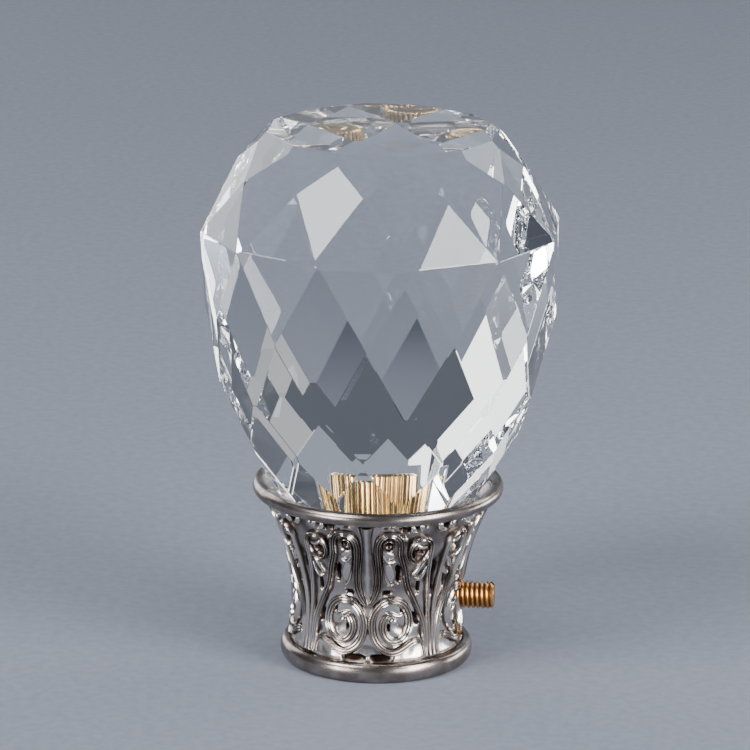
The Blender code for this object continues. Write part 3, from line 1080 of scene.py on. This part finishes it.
    def sink(self, vert: BMVert, hollow: BMLayerItem) -> None:
        """Sinks a corner of the ground by the pits that it lies in.

        Args:
            vert: the corner.
            hollow: the layer that says how deep a place lies.
        """
        degrees = math.degrees(math.atan2(vert.co.y, vert.co.x))
        height = vert.co.z / MM
        falls = [(pit.fall(degrees, height), pit) for pit in self.pits]
        fall, pit = max(falls, key=lambda item: item[0] * item[1].depth)
        place = Vector((math.radians(degrees) * self.waist_radius, vert.co.z, 0)) / self.uneven_size
        under_rim = eased(1 - (self.field_top - vert.co.z) / self.rough_zone)
        swell = noise.noise(place)
        # Painted light and shade: under the rim the hollows of the noise are coloured darker, as dirt
        # and as shade, and the ground there lighter, as polish and as painted light on its lumps; the
        # pits are coloured dark with patina and painted shade.
        dirt_and_shade = mix(*self.dirt_and_shade, under_rim) * max(0.0, -swell)
        shade = self.ground_shade - self.rough_polish_and_light * under_rim
        vert[hollow] = min(1.0, mix(shade, 1.0, fall) + dirt_and_shade)
        lift = swell * mix(self.uneven, self.rough_depth, under_rim)
        vert.co += self.ground_normal(degrees, vert.co.z) * (lift - fall * pit.depth * MM)

    def repeat(self, bm: BMesh) -> None:
        """Mirrors half a repeat across the leaf's middle and turns it round to all its places."""
        bmesh.ops.mirror(bm, geom=everything(bm), axis="Y", merge_dist=self.merge)
        bmesh.ops.spin(
            bm,
            geom=everything(bm),
            cent=(0, 0, 0),
            axis=(0, 0, 1),
            angle=2 * math.pi,
            steps=self.repeats,
            use_duplicate=True,
        )

    def route(self, scroll: Scroll) -> list[Point]:
        """The line that a scroll follows.

        Args:
            scroll: which of the bands.

        Returns:
            Its points, in degrees from the leaf's middle and shares of the ornament's field.
        """
        if scroll is not Scroll.HAIRPIN:
            return VOLUTES[scroll].points()
        middle, half, spring, rise, steps = 12.8, 7.0, 0.822, 0.110, 8
        turns = [math.radians(degrees) for degrees in range(180, -1, -30)]
        arch = [(middle + half * math.cos(turn), spring + rise * math.sin(turn)) for turn in turns]
        return through([*self.hairpin_up, *arch, *self.hairpin_down], steps)

    def even(self, path: Sequence[Point]) -> list[Point]:
        """Spaces a line's points evenly on the ground.

        Args:
            path: the line's points.

        Returns:
            Points a reed step apart on the same line.
        """
        places = [self.on_ground(*point) for point in path]
        walked = [0.0]
        for first, second in zip(places, places[1:]):
            walked.append(walked[-1] + (second - first).length)
        count = max(2, round(walked[-1] / self.reed_step))
        spaced = []
        k = 0
        for i in range(count + 1):
            goal = walked[-1] * i / count
            while k < len(walked) - 2 and walked[k + 1] < goal:
                k += 1
            part = (goal - walked[k]) / (walked[k + 1] - walked[k])
            spaced.append(tuple(mix(path[k][j], path[k + 1][j], part) for j in range(2)))
        return spaced

    def reeds(self, count: int, height: float) -> list[tuple[float, float, float]]:
        """The section of a band of parallel reeds.

        Args:
            count: how many reeds lie side by side.
            height: how high their crests stand off the ground.

        Returns:
            Its points from one root to the other, as the place across, the lift and the hollow value.
        """
        per_reed, margin = 4, 0.05 * MM
        side_lift, groove_lift = 0.2, 0.6
        half = self.reed_pitch * count / 2
        # Painted shade: the reeds' roots and grooves are coloured darker than their crests.
        points = [(-half - margin, -self.root, self.groove_shade)]
        for i in range(per_reed * count + 1):
            phase = i / per_reed
            crest = math.sin(math.pi * phase) ** 2
            edge = min(1.0, min(i, per_reed * count - i) / 2)
            lift = height * mix(mix(side_lift, groove_lift, edge), 1.0, crest)
            points.append((-half + self.reed_pitch * phase, lift, mix(self.groove_shade, 0.0, crest)))
        points.append((half + margin, -self.root, self.groove_shade))
        return points

    def frame_at(self, path: Sequence[Point], i: int) -> tuple[Vector, Vector, Vector]:
        """The place, the direction across and the normal at one point of a line on the ground."""
        degrees, share = path[i]
        before = self.on_ground(*path[max(0, i - 1)])
        after = self.on_ground(*path[min(len(path) - 1, i + 1)])
        height = mix(self.field_bottom, self.field_top, share)
        normal = self.ground_normal(degrees, height)
        across = normal.cross((after - before).normalized()).normalized()
        return self.on_ground(degrees, share), across, normal

    def sweep(
        self,
        path: Sequence[Point],
        section: Sequence[tuple[float, float, float]],
        swells: Sequence[tuple[float, float]],
    ) -> BMesh:
        """Draws a closed section along a line on the ground and closes its ends.

        Args:
            path: the line.
            section: the place across, the lift and the hollow value of the section's points.
            swells: for each of the line's points, how wide and how high the section is there.

        Returns:
            The closed shape.
        """
        bm = bmesh.new()
        hollow = bm.verts.layers.float.new("hollow")
        edges: list[BMEdge] = []
        ring: list[BMVert] = []
        for i, (wide, high) in enumerate(swells):
            place, across, normal = self.frame_at(path, i)
            if i:
                edges, ring = extrude_ring(bm, edges, ring)
            else:
                ring = [bm.verts.new() for _ in section]
                edges = [bm.edges.new((ring[k - 1], ring[k])) for k in range(len(ring))]
            for vert, (x, y, depth) in zip(ring, section):
                vert.co = place + across * x * wide + normal * (y * high if y > 0 else y)
                vert[hollow] = depth
            if not i:
                bmesh.ops.contextual_create(bm, geom=edges)
        bmesh.ops.contextual_create(bm, geom=edges)
        return bm

    def band(self, band: Band) -> BMesh:
        """Builds one reeded band, which narrows and sinks towards both ends.

        Args:
            band: its line and size.

        Returns:
            Its closed shape.
        """
        tail, blunt, end_width, end_height = 0.06, 0.02, 0.45, 0.6
        path = self.even(self.route(band.scroll))
        swells = []
        for i in range(len(path)):
            share = i / (len(path) - 1)
            near = min(1.0, (1 - share) / tail, (share + blunt) / tail)
            swells.append((band.spread * mix(end_width, 1.0, near), mix(end_height, 1.0, near)))
        return self.sweep(path, self.reeds(band.reeds, self.relief * band.rise), swells)

    def scrolls(self) -> list[BMesh]:
        """The reeded bands and the lobes of half a repeat, each as its own closed shape."""
        return [*map(self.band, self.bands), *map(self.petal, self.lobes)]

    def petal(self, lobe: Lobe) -> BMesh:
        """Builds one lobe.

        Args:
            lobe: its place and size.

        Returns:
            Its closed shape.
        """
        steps, shoulder, crest_shade, tip, fullness = 6, 0.15, 0.05, 0.03, 0.6
        path = through([(degrees, self.share(height)) for degrees, height in lobe.points], steps)
        half = lobe.half_width * MM
        section = [(-half, -self.root, self.groove_shade)]
        for k in range(steps + 1):
            turn = math.pi * k / steps
            lift = lobe.rise * MM * mix(shoulder, 1.0, math.sin(turn))
            section.append((-half * math.cos(turn), lift, crest_shade))
        section.append((half, -self.root, self.groove_shade))
        swells = []
        for i in range(len(path)):
            share = min(1 - tip, max(tip, i / (len(path) - 1)))
            swells.append((math.sin(math.pi * share) ** fullness,) * 2)
        return self.sweep(path, section, swells)

    def leaf(self) -> BMesh:
        """The pointed leaf between two hairpins, crowned, with a fine bead along both sides."""
        steps, tip_height, tip_points = 6, 0.5, 8
        outline = through(self.leaf_outline, steps)
        path = [(0.0, share) for share, _ in outline]
        crown = self.leaf_height
        # Painted shade: the leaf's flanks are coloured darker than its middle and its beads, and the
        # grooves beside the beads dark.
        side = [
            (1.0, -self.root / crown, self.groove_shade),
            (1.0, 0.1, self.groove_shade),
            (0.95, 0.6, 0.0),
            (0.88, 0.55, 0.1),
            (0.82, 0.3, self.groove_shade),
            (0.7, 0.5, 0.3),
            (0.55, 0.7, 0.55),
            (0.37, 0.85, 0.5),
            (0.18, 0.95, 0.25),
        ]
        left = [(-x, crown * y, depth) for x, y, depth in side]
        right = [(x, crown * y, depth) for x, y, depth in reversed(side)]
        swells = []
        for i, (share, degrees) in enumerate(outline):
            radius = self.ground_radius(mix(self.field_bottom, self.field_top, share))
            rise = mix(tip_height, 1.0, min(1.0, i / tip_points))
            swells.append((radius * math.radians(degrees), rise))
        return self.sweep(path, [*left, (0.0, crown, 0.0), *right], swells)

    def turned(self, source: BMesh, place: int, mirrored: bool) -> BMesh:
        """A copy of one shape of the relief, at one of its places round the collar.

        Args:
            source: the shape in the first half repeat.
            place: which repeat the copy is for.
            mirrored: whether it is for that repeat's other half.

        Returns:
            The copy, facing outwards.
        """
        bm = source.copy()
        if mirrored:
            bmesh.ops.scale(bm, verts=bm.verts, vec=(1, -1, 1))
        turn = Matrix.Rotation(2 * math.pi * place / self.repeats, 3, "Z")
        bmesh.ops.rotate(bm, verts=bm.verts, cent=(0, 0, 0), matrix=turn)
        bmesh.ops.recalc_face_normals(bm, faces=bm.faces)
        return bm

    def paint_lower_light(self, bm: BMesh) -> None:
        """Paints light on the relief's lower part by colouring it brighter there, but not in its
        grooves, which keep their painted shade.

        Args:
            bm: the whole collar.
        """
        hollow = bm.verts.layers.float["hollow"]
        (low, high), (thin, thick) = self.painted_light_heights, self.painted_light_hollows
        for vert in bm.verts:
            if vert.co.z > self.field_bottom:
                above = eased((vert.co.z - low) / (high - low))
                kept = max(above, eased((vert[hollow] - thin) / (thick - thin)))
                vert[hollow] *= mix(self.painted_light_factor, 1.0, kept)

    def build(self) -> None:
        """Builds and dresses the collar, with the grub screw's hole cut through shell and relief."""
        low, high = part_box("grub_screw")
        # The hole's bar starts half-way to the socket's wall and ends outside the collar
        hole = bmesh.new()
        bmesh.ops.create_cone(
            hole,
            cap_ends=True,
            segments=self.screw_hole_sides,
            radius1=self.screw_hole,
            radius2=self.screw_hole,
            depth=2 * self.bore_radius,
            matrix=along_x(1.5 * self.bore_radius, (low.z + high.z) / 2),
        )
        cutter = to_object("hole_cutter", hole)
        parts = [cut_away(self.shell(), cutter)]
        scrolls = self.scrolls()
        leaf = self.leaf()
        for place in range(self.repeats):
            copies = [self.turned(shape, place, side) for shape in scrolls for side in (False, True)]
            copies.append(self.turned(leaf, place, False))
            parts += [cut_away(copy, cutter) for copy in copies] if place == 0 else copies
        bpy.data.objects.remove(cutter, do_unlink=True)
        whole = joined(parts)
        self.paint_lower_light(whole)
        collar = to_object("cast_collar", whole, sharp=self.sharp)
        dress(collar, "collar", "plated_zinc", self.plate.material())


# The studio


@dataclass(frozen=True)
class Softbox:
    """A soft rectangular light that faces the finial.

    Azimuth 0 is the front, and it grows to the right. Size and distance are in metres.
    """

    name: str
    azimuth: float
    elevation: float
    distance: float
    width: float
    height: float
    power: float
    colour: str = "#FFFFFF"


@dataclass
class Studio:
    """The pale floor, the soft lights and the camera at the photograph's angle."""

    camera_distance: float = 0.680
    camera_height: float = 0.2393
    camera_azimuth: float = 5.8
    camera_dip: float = 16.4
    camera_roll: float = 0.7
    lens: float = 238.4
    shift: Point = (-0.0056, 0.0248)
    aim_height: float = 0.038
    floor_size: float = 4.0
    world: str = "#868C98"
    world_strength: float = 0.43
    softboxes: tuple[Softbox, ...] = (
        Softbox("left_softbox", -44, 47, 0.8, 0.32, 0.32, 5.6),
        Softbox("left_low_softbox", -37, 3, 0.85, 0.3, 0.4, 5.5),
        Softbox("right_softbox", 60, 24, 0.8, 0.32, 0.5, 8.0),
        Softbox("right_low_softbox", 45, 3, 0.85, 0.4, 0.4, 6.0),
        Softbox("left_rear_panel", -136.5, 14, 1.0, 0.62, 0.8, 4.6),
        Softbox("right_rear_panel", 134, 32, 1.0, 0.4, 0.4, 1.8),
        Softbox("rear_wall", 180, 23, 1.6, 1.3, 0.6, 0.9, "#D8E2F0"),
        Softbox("right_card", 118, -2, 0.4, 0.26, 0.12, 0.9),
        Softbox("right_rear_card", 153, 3, 0.9, 0.34, 0.4, 0.2),
    )

    def build(self) -> None:
        """Builds the whole studio."""
        self.floor()
        for softbox in self.softboxes:
            self.light(softbox)
        self.surround()
        self.camera()

    def floor(self) -> None:
        """The pale floor that the finial stands on."""
        bm = bmesh.new()
        bmesh.ops.create_grid(bm, x_segments=1, y_segments=1, size=self.floor_size / 2)
        floor = to_object("floor", bm)
        floor.data.materials.append(FloorPaper("paper, pale and matt").material())

    def light(self, softbox: Softbox) -> None:
        """Sets up one softbox."""
        data = bpy.data.lights.new(softbox.name, "AREA")
        data.shape = "RECTANGLE"
        data.size = softbox.width
        data.size_y = softbox.height
        data.energy = softbox.power
        data.color = linear(softbox.colour)[:3]
        lamp = bpy.data.objects.new(softbox.name, data)
        away = direction(softbox.azimuth, softbox.elevation)
        lamp.location = away * softbox.distance + Vector((0, 0, self.aim_height))
        lamp.rotation_euler = away.to_track_quat("Z", "Y").to_euler()
        bpy.context.scene.collection.objects.link(lamp)

    def surround(self) -> None:
        """The dim even light of the room around the softboxes."""
        world = bpy.data.worlds.new("studio")
        world.use_nodes = True
        background = world.node_tree.nodes["Background"]
        background.inputs["Color"].default_value = linear(self.world)
        background.inputs["Strength"].default_value = self.world_strength
        bpy.context.scene.world = world

    def camera(self) -> None:
        """The camera, as far off and as high as the photograph's."""
        data = bpy.data.cameras.new("camera")
        data.lens = self.lens
        data.shift_x, data.shift_y = self.shift
        camera = bpy.data.objects.new("camera", data)
        ahead = -direction(self.camera_azimuth, self.camera_dip)
        camera.location = direction(self.camera_azimuth, 0) * self.camera_distance
        camera.location.z = self.camera_height
        roll = Matrix.Rotation(math.radians(self.camera_roll), 3, "Z")
        camera.rotation_euler = (ahead.to_track_quat("-Z", "Y").to_matrix() @ roll).to_euler()
        bpy.context.scene.collection.objects.link(camera)
        bpy.context.scene.camera = camera


def light_bounces(scene: Scene, bounces: int = 64) -> None:
    """Lets light pass through all the facets that lie one behind another in the crystal."""
    scene.cycles.max_bounces = bounces
    scene.cycles.transmission_bounces = bounces
    scene.cycles.glossy_bounces = bounces // 2


def main() -> None:
    """Builds the finial's pieces and the studio."""
    logging.basicConfig(level=logging.INFO, format="%(name)s: %(message)s")
    for piece in (Collar(), Crystal(), Insert(), GrubScrew()):
        piece.build()
    Studio().build()
    light_bounces(bpy.context.scene)


if __name__ == "__main__":
    main()
